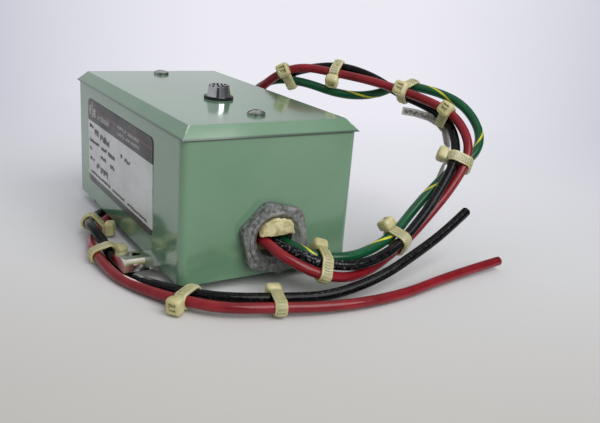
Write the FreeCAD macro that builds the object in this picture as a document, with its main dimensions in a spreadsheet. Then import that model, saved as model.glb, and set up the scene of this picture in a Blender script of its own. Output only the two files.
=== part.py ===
import FreeCAD, Part
import math
import os
import re

# A green steel surge-protector box with a bevelled lid, an indicator light, a cord gland,
# two mounting feet, the parts inside it and three tied leads.
# Frame: millimetres, +X across the box, +Y along it from the gland end, +Z up from the floor.

Vector = FreeCAD.Vector
doc = FreeCAD.newDocument("surge_protector")
sizes = doc.addObject("Spreadsheet::Sheet", "Sizes")

DIMENSIONS = {
    # box and lid
    "box_width": 74.1, "box_length": 130.4, "box_height": 55.0, "floor_gap": 4.5,
    "wall": 1.2, "corner_radius": 3.0, "lid_overhang": 0.6, "lid_rise": 4.6, "lid_bevel": 4.2,
    "weep_length": 13.0, "weep_height": 0.8, "weep_y": 35.5, "tab_drop": 0.9,
    # lid screws and the brackets they turn in
    "screw_near_inset": 16.7, "screw_far_inset": 13.7, "screw_head_radius": 3.6,
    "screw_head_height": 2.0, "screw_radius": 1.75, "screw_length": 11.0, "screw_slot": 0.9,
    "thread_clearance": 0.05, "hole_clearance": 0.4, "bracket_width": 18.0,
    "bracket_reach": 20.5, "bracket_drop": 16.0, "bracket_sheet": 1.6, "bracket_depth": 6.2,
    # indicator light
    "light_y": -14.8, "light_flange_radius": 6.2, "light_flange_height": 1.2,
    "light_foot_radius": 5.2, "light_top_radius": 4.2, "light_rise": 4.8, "light_lens_radius": 3.1,
    "light_barrel_radius": 3.6, "light_barrel_length": 9.0, "light_nut_radius": 6.0,
    "light_nut_height": 2.4, "light_notch": 0.8, "light_lens_recess": 1.4,
    # cord gland
    "gland_x": 0.8, "gland_height": 15.5, "gland_hex_radius": 15.4, "gland_hex_round": 14.8,
    "gland_hex_height": 4.0, "gland_collar_radius": 11.6, "gland_collar_height": 0.5,
    "gland_thread_radius": 10.45, "gland_thread_length": 11.0, "gland_bore": 7.9,
    "gland_mouth_radius": 10.2, "gland_mouth_depth": 2.2, "locknut_radius": 14.0,
    "locknut_height": 3.2, "plug_front": 5.2, "plug_back": 14.2, "plug_bulge": 3.6,
    # nameplate
    "plate_length": 85.5, "plate_height": 39.8, "plate_y": 5.6, "plate_rise": 9.6,
    "plate_thickness": 0.3, "plate_corner": 3.0,
    # mounting feet and rivets
    "foot_y": -37.9, "foot_sheet": 1.2, "foot_ear_width": 12.4, "foot_ear_length": 16.0,
    "foot_front_height": 5.2, "foot_back_height": 1.7, "foot_lean": 1.0, "foot_flange": 1.95,
    "foot_collar_lift": 0.6, "foot_collar_wall": 0.9, "foot_hole_radius": 3.0,
    "foot_hole_back": 1.6, "foot_hole_in": 0.6, "foot_inner": 16.0, "foot_pad_length": 16.0,
    "foot_pad_width": 12.0, "rivet_radius": 1.6, "rivet_head_radius": 3.0,
    "rivet_head_height": 1.2, "rivet_pitch": 7.0,
    # circuit board and what stands on it
    "board_side_gap": 7.15, "board_length": 84.0, "board_y": 6.0, "board_thickness": 1.6,
    "standoff_height": 6.0, "standoff_radius": 3.0, "board_hole_inset": 6.5,
    "board_screw_radius": 1.4, "board_screw_head": 2.6, "board_screw_head_height": 1.6,
    "board_screw_length": 5.0, "varistor_radius": 10.0, "varistor_thickness": 5.4,
    "varistor_pitch": 15.0, "varistor_lift": 2.0, "leg_radius": 0.45, "leg_spread": 3.75,
    "fuse_radius": 2.0, "fuse_length": 12.0, "fuse_lift": 1.2, "fuse_pitch": 9.0,
    "fuse_edge_gap": 13.0, "capacitor_edge_gap": 14.0,
    "capacitor_length": 18.0, "capacitor_width": 8.0, "capacitor_height": 15.0,
    "resistor_radius": 1.8, "resistor_length": 9.0,
    # leads and ties
    "lead_radius": 2.05, "terminal_length": 6.0, "terminal_width": 3.2, "terminal_back": 2.0,
    "tie_clearance": 0.35, "tie_strap": 1.1, "tie_width": 4.6, "tie_head": 7.0,
    "tie_head_depth": 5.0, "tie_head_width": 6.8,
}

for row, (alias, value) in enumerate(DIMENSIONS.items(), start=1):
    sizes.set(f"A{row}", alias)
    sizes.set(f"B{row}", str(value))
    sizes.setAlias(f"B{row}", alias)
doc.recompute()


def size(alias):
    return float(getattr(sizes, alias))


def formula(text):
    """A formula on the sheet's names, written as FreeCAD reads it."""
    return re.sub(r"[a-z][a-z0-9_]{2,}", lambda word: "Sizes." + word.group(0), text)


# Heights and places that several pieces share, as formulas on the sheet.
RIM = "(floor_gap + box_height)"
LID_TOP = "(floor_gap + box_height + lid_rise)"
LID_INSIDE = f"({LID_TOP} - wall)"
NEAR_FACE = "(-box_length / 2)"
NEAR_INSIDE = "(wall - box_length / 2)"
GLAND_Z = "(floor_gap + gland_height)"
BOX_FLOOR = "(floor_gap + wall)"
BOARD_TOP = f"({BOX_FLOOR} + standoff_height + board_thickness)"
PLUG_FRONT = f"({NEAR_FACE} + plug_front)"
SCREW_Y = {"near": "(screw_near_inset - box_length / 2)",
           "far": "(box_length / 2 - screw_far_inset)"}
BOARD_WIDTH = "(box_width - 2 * wall - 2 * board_side_gap)"
PLUG_BACK = f"({NEAR_FACE} + plug_back)"

AXES = {
    "X": FreeCAD.Rotation(Vector(0, 1, 0), 90),
    "Y": FreeCAD.Rotation(Vector(1, 0, 0), -90),
    "Z": FreeCAD.Rotation(),
}
nodes = []


def bind(thing, turn=None, **formulas):
    """Bind properties to the sheet; X, Y and Z are the base of the placement."""
    if turn is not None:
        thing.Placement = FreeCAD.Placement(Vector(), turn)
    for name, text in formulas.items():
        path = f"Placement.Base.{name.lower()}" if name in "XYZ" else name
        thing.setExpression(path, formula(text))
    return thing


def block(name, length, width, height, x="0", y="0", z="0"):
    """A box centred on x and y that stands on z."""
    thing = doc.addObject("Part::Box", name)
    return bind(thing, Length=length, Width=width, Height=height,
                X=f"{x} - ({length}) / 2", Y=f"{y} - ({width}) / 2", Z=z)


def rod(name, radius, height, x="0", y="0", z="0", axis="Z"):
    thing = doc.addObject("Part::Cylinder", name)
    return bind(thing, AXES[axis], Radius=radius, Height=height, X=x, Y=y, Z=z)


def taper(name, radius_1, radius_2, height, x="0", y="0", z="0", axis="Z"):
    thing = doc.addObject("Part::Cone", name)
    return bind(thing, AXES[axis], Radius1=radius_1, Radius2=radius_2, Height=height, X=x, Y=y, Z=z)


def hexagon(name, radius, height, x="0", y="0", z="0", axis="Z", spin=0.0):
    thing = doc.addObject("Part::Prism", name)
    thing.Polygon = 6
    turn = AXES[axis].multiply(FreeCAD.Rotation(Vector(0, 0, 1), spin))
    return bind(thing, turn, Circumradius=radius, Height=height, X=x, Y=y, Z=z)


def frustum(name, bottom, top, height, x="0", y="0", z="0", shift="0"):
    """A straight-sided block from a bottom (length, width) to a top one, moved along Y by shift."""
    thing = doc.addObject("Part::Wedge", name)
    turn = FreeCAD.Rotation(Vector(1, 0, 0), 90)
    return bind(thing, turn, Xmin=f"-({bottom[0]}) / 2", Xmax=f"({bottom[0]}) / 2",
                Zmin=f"-({bottom[1]}) / 2", Zmax=f"({bottom[1]}) / 2", Ymin="0", Ymax=height,
                X2min=f"-({top[0]}) / 2", X2max=f"({top[0]}) / 2",
                Z2min=f"-({top[1]}) / 2 - ({shift})", Z2max=f"({top[1]}) / 2 - ({shift})",
                X=x, Y=y, Z=z)


def rounded_block(name, length, width, height, radius, z):
    """A box centred on the Z axis with its four upright edges rounded."""
    body = doc.addObject("PartDesign::Body", name)
    blank = body.newObject("PartDesign::AdditiveBox", name + "_blank")
    bind(blank, Length=length, Width=width, Height=height,
         X=f"-({length}) / 2", Y=f"-({width}) / 2", Z=z)
    doc.recompute()
    upright = [f"Edge{number}" for number, edge in enumerate(blank.Shape.Edges, start=1)
               if abs(edge.tangentAt(edge.FirstParameter).z) > 0.99]
    fillet = body.newObject("PartDesign::Fillet", name + "_corners")
    fillet.Base = (blank, upright)
    bind(fillet, Radius=radius)
    return body


def fuse(name, *shapes):
    thing = doc.addObject("Part::MultiFuse", name)
    thing.Shapes = list(shapes)
    return thing


def cut(name, base, *tools):
    thing = doc.addObject("Part::Cut", name)
    thing.Base = base
    thing.Tool = tools[0] if len(tools) == 1 else fuse(name + "_tools", *tools)
    return thing


def common(name, *shapes):
    thing = doc.addObject("Part::MultiCommon", name)
    thing.Shapes = list(shapes)
    return thing


def node(label, thing):
    """Record a finished sub-part under its node name."""
    thing.Label = label
    nodes.append((label, thing))
    return thing


def shape_node(label, shape, place=None):
    """A sub-part whose shape is worked out by Part's own functions."""
    thing = doc.addObject("Part::Feature", label)
    thing.Shape = shape
    if place is not None:
        thing.Placement = place
    return node(label, thing)


def rivet_places():
    """X offsets from the foot's pad centre of its two rivets."""
    return ["(-rivet_pitch / 2)", "(rivet_pitch / 2)"]


PAD_X = "(-box_width / 2 + foot_inner / 2)"


def enclosure_body():
    """Folded box, open at the top, with the gland's knockout and the foot rivets' holes."""
    outer = rounded_block("body_outer", "box_width", "box_length", "box_height",
                          "corner_radius", "floor_gap")
    inner = rounded_block("body_inner", "box_width - 2 * wall", "box_length - 2 * wall",
                          "box_height", "corner_radius - wall", BOX_FLOOR)
    knockout = rod("body_knockout", "gland_thread_radius + hole_clearance", "6 * wall",
                   "gland_x", f"{NEAR_FACE} - 2 * wall", GLAND_Z, "Y")
    holes = []
    for side, sign in (("left", ""), ("right", "-")):
        for place, offset in enumerate(rivet_places(), start=1):
            holes.append(rod(f"body_rivet_{side}_{place}", "rivet_radius", "4 * wall",
                             f"{sign}({PAD_X})", f"{sign}(foot_y + {offset})",
                             "floor_gap - wall"))
    weep = block("body_weep", "2 * wall", "weep_length", "weep_height", "-box_width / 2", "weep_y",
                 "floor_gap")
    tab = block("body_tab", "wall", "1.5 * wall", "wall + tab_drop", "-box_width / 2 + wall",
                "weep_y + weep_length / 2 + wall", "floor_gap - tab_drop")
    node("enclosure_body",
         fuse("body_and_tab", cut("body", outer, inner, knockout, weep, *holes), tab))


def lid():
    """Bevelled pan whose edge rests on the rim of the body."""
    width = "box_width + 2 * lid_overhang"
    length = "box_length + 2 * lid_overhang"
    outer = frustum("lid_outer", (width, length),
                    (f"{width} - 2 * lid_bevel", f"{length} - 2 * lid_bevel"),
                    "lid_rise", z=RIM)
    edge = "2 * (lid_overhang + 0.5 * wall)"
    inner = frustum("lid_inner", (f"{width} - {edge}", f"{length} - {edge}"),
                    (f"{width} - 2 * lid_bevel - wall", f"{length} - 2 * lid_bevel - wall"),
                    "lid_rise - wall", z=RIM)
    holes = [rod(f"lid_hole_{end}", "screw_radius + hole_clearance", "4 * wall",
                 "0", SCREW_Y[end], f"{LID_TOP} - 3 * wall") for end in ("near", "far")]
    light = rod("lid_light_hole", "light_barrel_radius + hole_clearance / 4", "4 * wall",
                "0", "light_y", f"{LID_TOP} - 3 * wall")
    node("lid", cut("lid_pan", outer, inner, light, *holes))


def lid_screw(end):
    """Slotted pan-head screw: domed head on the lid, shank down into the bracket."""
    y = SCREW_Y[end]
    disc = rod(f"screw_disc_{end}", "screw_head_radius", "screw_head_height", "0", y, LID_TOP)
    dome = doc.addObject("Part::Sphere", f"screw_dome_{end}")
    bind(dome, Radius="1.9 * screw_head_radius", X="0", Y=y,
         Z=f"{LID_TOP} + screw_head_height - 1.9 * screw_head_radius")
    head = common(f"screw_head_{end}", disc, dome)
    slot = block(f"screw_slot_{end}", "3 * screw_head_radius", "screw_slot", "screw_head_height",
                 "0", y, f"{LID_TOP} + 0.45 * screw_head_height")
    shank = rod(f"screw_shank_{end}", "screw_radius", "screw_length", "0", y,
                f"{LID_TOP} - screw_length")
    node(f"lid_screw_{end}", fuse(f"screw_{end}", cut(f"screw_slotted_{end}", head, slot), shank))


def lid_bracket(end, sign):
    """Bent bracket on the inside of an end wall: shelf with a threaded hole, and a leg."""
    wall_y = f"{sign}(box_length / 2 - wall)"
    top = f"({RIM} - bracket_depth)"
    shelf = block(f"bracket_shelf_{end}", "bracket_width", "bracket_reach", "bracket_sheet",
                  "0", f"{wall_y} - {sign}(bracket_reach / 2)", f"{top} - bracket_sheet")
    leg = block(f"bracket_leg_{end}", "bracket_width", "bracket_sheet", "bracket_drop",
                "0", f"{wall_y} - {sign}(bracket_sheet / 2)", f"{top} - bracket_drop")
    hole = rod(f"bracket_hole_{end}", "screw_radius + thread_clearance", "4 * bracket_sheet",
               "0", SCREW_Y[end], f"{top} - 2 * bracket_sheet")
    node(f"lid_bracket_{end}", cut(f"bracket_{end}", fuse(f"bracket_bent_{end}", shelf, leg), hole))


def indicator():
    """Pilot light in the lid: washer, chrome bezel with a notched ring, lens and nut."""
    bezel_foot = f"({LID_TOP} + light_flange_height)"
    bezel_top = f"({bezel_foot} + light_rise)"
    hole = rod("washer_hole", "light_barrel_radius + hole_clearance / 4", "2 * light_flange_height",
               "0", "light_y", f"{LID_TOP} - light_flange_height / 2")
    disc = rod("washer_disc", "light_flange_radius", "light_flange_height", "0", "light_y", LID_TOP)
    node("indicator_washer", cut("washer", disc, hole))

    cone = taper("bezel_cone", "light_foot_radius", "light_top_radius", "light_rise",
                 "0", "light_y", bezel_foot)
    barrel = rod("bezel_barrel", "light_barrel_radius", "light_barrel_length + light_flange_height",
                 "0", "light_y", f"{LID_TOP} - light_barrel_length")
    bore = rod("bezel_bore", "light_lens_radius", "light_rise + light_barrel_length + 4",
               "0", "light_y", f"{LID_TOP} - light_barrel_length - 1")
    notches = []
    for turn in range(6):
        notch = block(f"bezel_notch_{turn}", "light_notch", "4 * light_top_radius",
                      "1.2 * light_notch")
        notch.Placement = FreeCAD.Placement(Vector(), FreeCAD.Rotation(Vector(0, 0, 1), 30 * turn))
        spin = math.radians(30 * turn)
        across, along = "(light_notch / 2)", "(2 * light_top_radius)"
        bind(notch, X=f"-{across} * {math.cos(spin):.6f} + {along} * {math.sin(spin):.6f}",
             Y=f"light_y - {across} * {math.sin(spin):.6f} - {along} * {math.cos(spin):.6f}",
             Z=f"{bezel_top} - 0.9 * light_notch")
        notches.append(notch)
    node("indicator_bezel", cut("bezel", fuse("bezel_solid", cone, barrel), bore, *notches))

    lens_top = f"({bezel_top} - light_lens_recess)"
    lens = rod("lens_rod", "light_lens_radius", "light_rise + light_barrel_length - 4",
               "0", "light_y", f"{LID_TOP} - light_barrel_length + 3")
    dome = doc.addObject("Part::Sphere", "lens_dome")
    bind(dome, Radius="4.2 * light_lens_radius", X="0", Y="light_y",
         Z=f"{lens_top} - 4.2 * light_lens_radius")
    node("indicator_lens", common("lens", lens, dome))

    nut = hexagon("nut_hex", "light_nut_radius", "light_nut_height", "0", "light_y",
                  f"{LID_INSIDE} - light_nut_height")
    nut_hole = rod("nut_hole", "light_barrel_radius", "2 * light_nut_height", "0", "light_y",
                   f"{LID_INSIDE} - 1.5 * light_nut_height")
    node("indicator_nut", cut("nut", nut, nut_hole))


def gland():
    """Nipple with a round-cornered hexagonal head outside, thread through the wall, locknut."""
    face = NEAR_FACE
    front = f"({face} - gland_hex_height)"
    mouth = f"({front} - gland_collar_height)"
    hexa = hexagon("gland_hex", "gland_hex_radius", "gland_hex_height", "gland_x", front, GLAND_Z,
                   "Y", spin=16.0)
    rounding = rod("gland_round", "gland_hex_round", "gland_hex_height", "gland_x", front,
                   GLAND_Z, "Y")
    head = common("gland_head", hexa, rounding)
    collar = rod("gland_collar", "gland_collar_radius", "gland_collar_height", "gland_x", mouth,
                 GLAND_Z, "Y")
    thread = rod("gland_thread", "gland_thread_radius", "gland_thread_length", "gland_x", face,
                 GLAND_Z, "Y")
    bore = rod("gland_bore_hole", "gland_bore", "gland_thread_length + 20", "gland_x",
               f"{mouth} - 2", GLAND_Z, "Y")
    flare = taper("gland_mouth", "gland_mouth_radius", "gland_bore", "gland_mouth_depth",
                  "gland_x", mouth, GLAND_Z, "Y")
    node("chase_nipple", cut("nipple", fuse("nipple_solid", head, collar, thread), bore, flare))

    nut = hexagon("locknut_hex", "locknut_radius", "locknut_height", "gland_x", NEAR_INSIDE,
                  GLAND_Z, "Y")
    nut_hole = rod("locknut_hole", "gland_thread_radius", "2 * locknut_height", "gland_x",
                   f"{NEAR_INSIDE} - locknut_height / 2", GLAND_Z, "Y")
    node("gland_locknut", cut("locknut", nut, nut_hole))

    fill = rod("plug_fill", "gland_bore", "plug_back - plug_front", "gland_x",
               PLUG_FRONT, GLAND_Z, "Y")
    lump = rod("plug_lump", "gland_bore", f"{PLUG_FRONT} - {mouth} - gland_mouth_depth + 0.4",
               "gland_x", f"{mouth} + gland_mouth_depth - 0.4", GLAND_Z, "Y")
    upper = block("plug_upper", "4 * gland_bore", "60", "2 * gland_bore", "gland_x", face,
                  f"{GLAND_Z} + plug_bulge")
    node("sealing_plug", fuse("plug", fill, common("plug_bulge_part", lump, upper)))


def nameplate():
    """Thin plate on the long face, its corners rounded."""
    plate = doc.addObject("PartDesign::Body", "plate_body")
    blank = plate.newObject("PartDesign::AdditiveBox", "plate_blank")
    bind(blank, Length="plate_thickness", Width="plate_length", Height="plate_height",
         X="-box_width / 2 - plate_thickness", Y="plate_y - plate_length / 2",
         Z="floor_gap + plate_rise")
    doc.recompute()
    corners = [f"Edge{number}" for number, edge in enumerate(blank.Shape.Edges, start=1)
               if abs(edge.tangentAt(edge.FirstParameter).x) > 0.99]
    fillet = plate.newObject("PartDesign::Fillet", "plate_corners")
    fillet.Base = (blank, corners)
    bind(fillet, Radius="plate_corner")
    node("nameplate", plate)


def ramp(name, width, length, front, back, x="0", y="0", z="0"):
    """A block centred on x and y that stands on z, its top falling from front to back along +Y."""
    thing = doc.addObject("Part::Wedge", name)
    return bind(thing, Xmin=f"-({width}) / 2", Xmax=f"({width}) / 2", Zmin="0", Zmax=front,
                Ymin=f"-({length}) / 2", Ymax=f"({length}) / 2", X2min=f"-({width}) / 2",
                X2max=f"({width}) / 2", Z2min="0", Z2max=back, X=x, Y=y, Z=z)


def mounting_foot(side, half_turn):
    """Pressed foot: a pad under the box, a flange stepped up beside it, and a wedge-shaped ear."""
    edge_x = "(-box_width / 2)"
    ear_x = f"({edge_x} - foot_flange - foot_ear_width / 2)"
    ear = common(f"ear_{side}",
                 ramp(f"ear_ramp_{side}", "foot_ear_width", "foot_ear_length",
                      "foot_front_height", "foot_back_height", ear_x, "foot_y", "floor_gap"),
                 frustum(f"ear_lean_{side}", ("foot_ear_width", "foot_ear_length"),
                         ("foot_ear_width - 2 * foot_lean", "foot_ear_length - 2 * foot_lean"),
                         "foot_front_height", ear_x, "foot_y", "floor_gap"))
    inside = "2 * (foot_sheet + foot_lean)"
    hollow = ramp(f"ear_hollow_{side}", f"foot_ear_width - {inside}",
                  f"foot_ear_length - {inside}", "foot_front_height - 1.3 * foot_sheet",
                  "foot_back_height - foot_sheet", ear_x, "foot_y", "floor_gap")
    hole_x, hole_y = f"({ear_x} + foot_hole_in)", "(foot_y + foot_hole_back)"
    collar = common(f"ear_collar_{side}", ear,
                    rod(f"ear_collar_rod_{side}", "foot_hole_radius + foot_collar_wall",
                        "foot_front_height", hole_x, hole_y, "floor_gap + foot_collar_lift"))
    screw = rod(f"ear_hole_{side}", "foot_hole_radius", "2 * foot_front_height", hole_x, hole_y,
                "floor_gap - foot_sheet")
    flange = block(f"foot_flange_{side}", "foot_flange + foot_lean + foot_sheet",
                   "foot_ear_length", "foot_sheet",
                   f"{edge_x} - (foot_flange + foot_lean + foot_sheet) / 2", "foot_y",
                   "floor_gap")
    step = block(f"foot_step_{side}", "foot_sheet", "foot_ear_length", "2 * foot_sheet",
                 f"{edge_x} - foot_sheet / 2", "foot_y", "floor_gap - foot_sheet")
    web = block(f"foot_web_{side}", "foot_inner + foot_sheet", "foot_ear_length", "foot_sheet",
                f"{edge_x} + foot_inner / 2 - foot_sheet / 2", "foot_y", "floor_gap - foot_sheet")
    pad = block(f"foot_pad_{side}", "foot_pad_width", "foot_pad_length", "floor_gap",
                PAD_X, "foot_y", "0")
    pad_hollow = block(f"foot_pad_hollow_{side}", "foot_pad_width - 2 * foot_sheet",
                       "foot_pad_length - 2 * foot_sheet", "floor_gap - foot_sheet",
                       PAD_X, "foot_y", "0")
    holes = [rod(f"foot_rivet_hole_{side}_{place}", "rivet_radius", "3 * floor_gap", PAD_X,
                 f"foot_y + {offset}", "-floor_gap")
             for place, offset in enumerate(rivet_places(), start=1)]
    pressed = fuse(f"foot_pressed_{side}", cut(f"ear_shell_{side}", ear, hollow), collar, flange,
                   step, web, pad)
    shell = cut(f"foot_{side}", pressed, pad_hollow, screw, *holes)
    parts = [(f"mounting_foot_{side}", shell)]
    for place, offset in enumerate(rivet_places(), start=1):
        stem = rod(f"rivet_stem_{side}_{place}", "rivet_radius", "foot_sheet + wall", PAD_X,
                   f"foot_y + {offset}", "floor_gap - foot_sheet")
        lower = rod(f"rivet_lower_{side}_{place}", "rivet_head_radius", "rivet_head_height",
                    PAD_X, f"foot_y + {offset}", "floor_gap - foot_sheet - rivet_head_height")
        upper = taper(f"rivet_upper_{side}_{place}", "rivet_head_radius",
                      "0.6 * rivet_head_radius", "rivet_head_height", PAD_X,
                      f"foot_y + {offset}", BOX_FLOOR)
        parts.append((f"foot_rivet_{side}_{place}",
                      fuse(f"rivet_{side}_{place}", stem, lower, upper)))
    for label, thing in parts:
        if half_turn:
            turned = doc.addObject("Part::Compound", label + "_turned")
            turned.Links = [thing]
            turned.Placement = FreeCAD.Placement(Vector(), FreeCAD.Rotation(Vector(0, 0, 1), 180))
            thing = turned
        node(label, thing)


def board_corners():
    """Number and centre of each of the board's four fixing holes."""
    reach_x = f"({BOARD_WIDTH} / 2 - board_hole_inset)"
    reach_y = "(board_length / 2 - board_hole_inset)"
    corners = [(f"-{reach_x}", f"board_y - {reach_y}"), (reach_x, f"board_y - {reach_y}"),
               (reach_x, f"board_y + {reach_y}"), (f"-{reach_x}", f"board_y + {reach_y}")]
    return list(enumerate(corners, start=1))


def circuit_board():
    """Board on four standoffs, held by four screws."""
    board = block("board_blank", BOARD_WIDTH, "board_length", "board_thickness", "0", "board_y",
                  f"{BOX_FLOOR} + standoff_height")
    holes = [rod(f"board_hole_{number}", "board_screw_radius + 0.2", "3 * board_thickness", x, y,
                 f"{BOX_FLOOR} + standoff_height - board_thickness")
             for number, (x, y) in board_corners()]
    node("circuit_board", cut("board", board, *holes))
    for number, (x, y) in board_corners():
        post = rod(f"post_{number}", "standoff_radius", "standoff_height", x, y, BOX_FLOOR)
        tapped = rod(f"post_hole_{number}", "board_screw_radius", "board_screw_length", x, y,
                     f"{BOARD_TOP} - board_screw_length")
        node(f"standoff_{number}", cut(f"post_tapped_{number}", post, tapped))
        head = rod(f"board_screw_head_{number}", "board_screw_head", "board_screw_head_height",
                   x, y, BOARD_TOP)
        cross = block(f"board_screw_cross_{number}", "0.7", "3 * board_screw_head",
                      "board_screw_head_height", x, y, f"{BOARD_TOP} + 0.9")
        shank = rod(f"board_screw_shank_{number}", "board_screw_radius", "board_screw_length",
                    x, y, f"{BOARD_TOP} - board_screw_length")
        node(f"board_screw_{number}",
             fuse(f"board_screw_solid_{number}", cut(f"board_screw_cut_{number}", head, cross),
                  shank))


def varistor(number):
    """Disc varistor standing on the board on two legs."""
    y = f"(board_y + varistor_pitch * {number - 2} + 4)"
    centre_z = f"({BOARD_TOP} + varistor_lift + varistor_radius)"
    disc = rod(f"varistor_disc_{number}", "varistor_radius", "varistor_thickness", "-8",
               f"{y} - varistor_thickness / 2", centre_z, "Y")
    legs = [rod(f"varistor_leg_{number}_{side}", "leg_radius", "varistor_lift + 2",
                f"-8 {sign} leg_spread", y, BOARD_TOP)
            for side, sign in (("a", "-"), ("b", "+"))]
    node(f"varistor_{number}", fuse(f"varistor_solid_{number}", disc, *legs))


def axial_part(label, radius, length, x, y):
    """A part that lies along X above the board on its two bent-down legs."""
    z = f"({BOARD_TOP} + {radius} + fuse_lift)"
    barrel = rod(f"{label}_barrel", radius, length, f"{x} - {length} / 2", y, z, "X")
    pieces = [barrel]
    for side, sign in (("a", "-"), ("b", "+")):
        end = f"({x} {sign} ({length} / 2 + 2))"
        start = f"({x} - {length} / 2 - 2)" if sign == "-" else f"({x} + {length} / 2 - 1)"
        pieces.append(rod(f"{label}_wire_{side}", "0.8 * leg_radius", "3", start, y, z, "X"))
        pieces.append(rod(f"{label}_leg_{side}", "leg_radius",
                          f"{radius} + fuse_lift + 1.2 * leg_radius", end, y, BOARD_TOP))
    node(label, fuse(f"{label}_solid", *pieces))


def board_parts():
    """What stands on the board beside the varistors."""
    for number in (1, 2):
        axial_part(f"thermal_cutoff_{number}", "fuse_radius", "fuse_length",
                   f"({BOARD_WIDTH} / 2 - fuse_edge_gap)",
                   f"(board_y + fuse_pitch * {number - 1} + 4)")
    axial_part("ballast_resistor", "resistor_radius", "resistor_length",
               f"({BOARD_WIDTH} / 2 - fuse_edge_gap)", "(board_y + fuse_pitch * 2 + 4)")
    node("film_capacitor", block("capacitor_case", "capacitor_length", "capacitor_width",
                                 "capacitor_height", f"({BOARD_WIDTH} / 2 - capacitor_edge_gap)",
                                 "(board_y - 12)", BOARD_TOP))


# Each lead's route, in mm: out of the gland, round the loop beside the box, down behind it,
# under it, and along the front to the cut end. The green lead ends behind the box.
ROUTES = {
    "red": [
        (-4.6, -60, 20), (-4.6, -68.5, 20), (-0.8, -79.7, 16), (12.3, -87.8, 9.6), (32, -85, 6),
        (57, -78.5, 14), (72.5, -75, 24), (84, -74.5, 35.5), (92.5, -72.5, 46), (97, -66.5, 54),
        (97, -56, 62), (92, -45, 66), (85, -32.5, 69), (77, -18.5, 71.5), (66, -4, 73),
        (54, 7, 74.5), (45, 13, 70), (40, 20.5, 62.5), (40.5, 30, 54), (46.5, 44.5, 39),
        (52, 56.5, 19), (44, 59.5, 2.1), (25, 56, 2.1), (0, 46.5, 2.1), (-23, 35, 2.1),
        (-37.4, 21.5, 2.1), (-45.4, 7, 4.3), (-51.5, -5, 3), (-54.9, -16, 4), (-55, -28, 3.7),
        (-53.6, -42, 2.3), (-49.8, -54, 2.5), (-45, -64.5, 3), (-40, -74.5, 4.1), (-29, -86, 4),
        (-10.5, -93, 4), (11.5, -99, 3), (40.5, -99.5, 2.5), (71, -93, 3), (102, -90.5, 4),
    ],
    "black": [
        (0, -60, 15.5), (0, -68, 15.5), (4, -77.3, 14.6), (14.5, -84.5, 12.8), (30, -87, 11.5),
        (49, -83.5, 15), (65.5, -78.5, 25), (76.5, -75, 34.5), (86.5, -71, 45), (93, -63.5, 51.5),
        (97, -54, 57.5), (94.5, -41.5, 63), (87.5, -28, 66.5), (80.5, -14.5, 73), (71, -1, 76),
        (59.5, 11, 73), (51.5, 19.5, 68), (47, 29, 63.5), (46, 37, 55.5), (51, 48.5, 39),
        (55, 61, 18.5), (44, 64.5, 2.1), (24, 60.5, 2.1), (0, 51.5, 2.1), (-22, 41.5, 2.3),
        (-38.8, 29, 2.1), (-46.9, 14, 5.5), (-51.3, 1, 8.4), (-51.3, -9, 8.7),
        (-49.9, -16.5, 5.9), (-50.3, -23.3, 4.7), (-50.1, -29.8, 2.1), (-49.2, -41, 2.1),
        (-46, -50, 2.1), (-42, -58.5, 3), (-36.8, -68.5, 4.1), (-25.5, -78.5, 4), (-6, -86.5, 4),
        (13.5, -90.5, 3), (36, -91.5, 7.5), (57, -87.5, 13.5), (73, -84.5, 19), (87.5, -81, 25.5),
    ],
    "green": [
        (4.6, -60, 18), (4.6, -68, 18), (8.4, -76, 16.4), (17.5, -81, 13.8),
        (33, -81.5, 13.5), (51, -78, 18), (64.5, -72.5, 25.5), (75.5, -69.5, 32), (87, -68, 40),
        (101, -68.5, 46), (110, -61.5, 54), (111.5, -48.5, 63.5), (105, -37.5, 68.5),
        (92, -23, 70.5), (82, -14.5, 63.5), (69.5, -5, 62.5), (56, 6.5, 67), (48, 16.5, 67),
        (44, 24, 64), (41, 36.5, 54.5), (43.5, 50, 42.5), (47, 60, 32),
    ],
}


def lead_path(points):
    """Straight runs joined by tangent arcs as large as the runs allow, and each arc's radius."""
    points = [Vector(*point) for point in points]
    edges, radii = [], []
    start = points[0]
    for before, corner, after in zip(points, points[1:], points[2:]):
        back = (before - corner)
        ahead = (after - corner)
        reach = 0.45 * min(back.Length, ahead.Length)
        back.normalize()
        ahead.normalize()
        half_turn = (math.pi - back.getAngle(ahead)) / 2
        radius = reach / math.tan(half_turn)
        enter = corner + back * reach
        leave = corner + ahead * reach
        inward = (back + ahead).normalize()
        middle = corner + inward * (radius / math.cos(half_turn) - radius)
        edges.append(Part.LineSegment(start, enter).toShape())
        edges.append(Part.Arc(enter, middle, leave).toShape())
        radii.append(radius)
        start = leave
    edges.append(Part.LineSegment(start, points[-1]).toShape())
    return Part.Wire(edges), radii


def lead(colour):
    """Insulated conductor, a tube of constant section along its route."""
    path, radii = lead_path(ROUTES[colour])
    start = Vector(*ROUTES[colour][0])
    along = Vector(*ROUTES[colour][1]) - start
    section = Part.Wire(Part.Circle(start, along, size("lead_radius")).toShape())
    tube = path.makePipeShell([section], True, False)
    ideal = math.pi * size("lead_radius") ** 2 * path.Length
    print(f"{colour}: length {path.Length:.1f}, smallest radius {min(radii):.1f}, "
          f"volume {tube.Volume / ideal:.4f} of section times length")
    shape_node(f"{colour}_lead", tube)
    return path


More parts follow.
